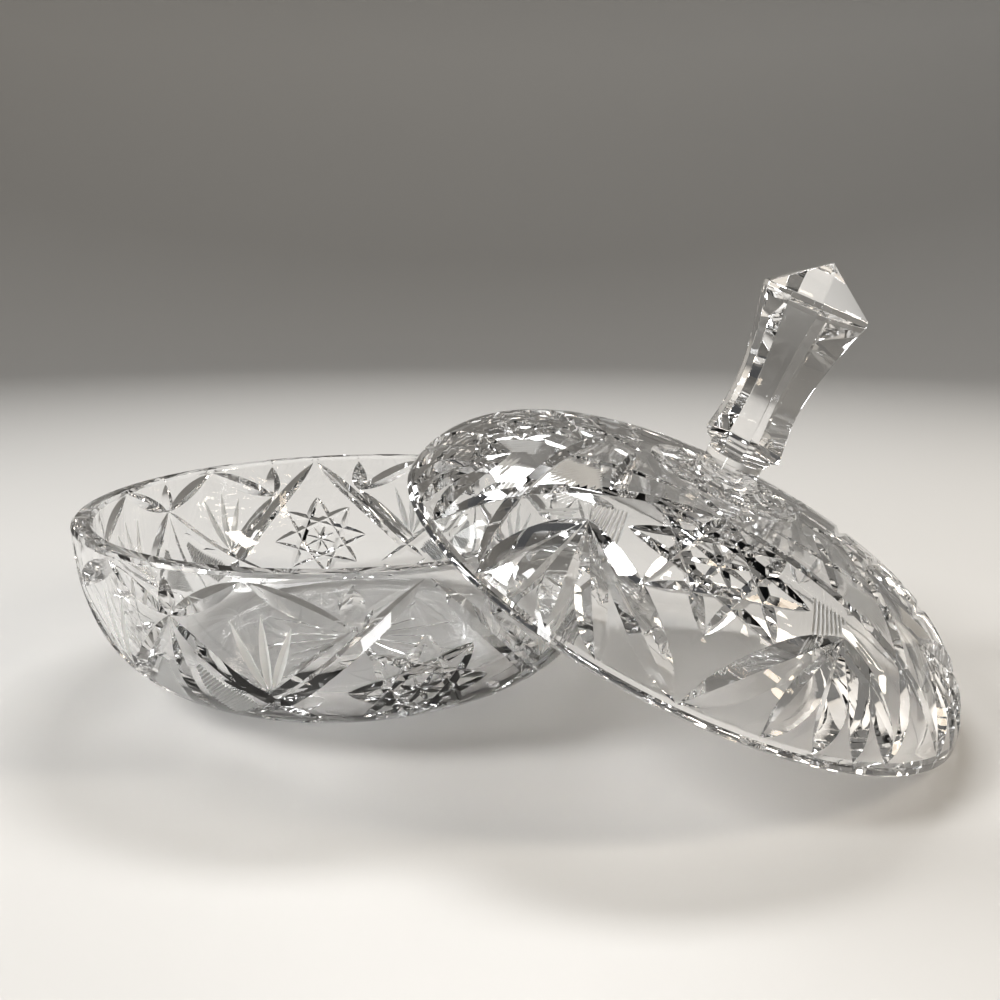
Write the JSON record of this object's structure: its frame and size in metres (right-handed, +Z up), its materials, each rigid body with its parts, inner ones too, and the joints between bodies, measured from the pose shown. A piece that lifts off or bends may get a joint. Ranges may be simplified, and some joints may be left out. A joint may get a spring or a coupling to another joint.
{
  "type": "powder jar",
  "caption": "Round crystal powder jar: a shallow thick-walled bowl and a domed lid with a tall six-sided finial, stored with the lid off and leaning on the rim.",
  "frame": {"origin": "centre of the bowl's flat underside, on the table", "axes": "+Z up along the bowl's axis; +X roughly towards the leaning lid; -Y towards the viewer"},
  "size_m": [0.2166, 0.1627, 0.1041],
  "materials": {
    "bowl_crystal": "clear polished lead crystal with cut decoration",
    "lid_crystal": "clear polished lead crystal with cut decoration",
    "finial_crystal": "clear polished lead crystal with flat facets"
  },
  "bodies": {
    "bowl": {"bowl": "bowl_crystal"},
    "lid": {"lid_dome": "lid_crystal", "lid_finial": "finial_crystal"}
  },
  "joints": [
    {"name": "lid_swing", "type": "hinge", "parent": "bowl", "child": "lid", "pos_m": [0.0199, -0.05767, 0], "axis": [0.0985, -0.3325, 0.938], "range_deg": [0, 72.45]}
  ]
}
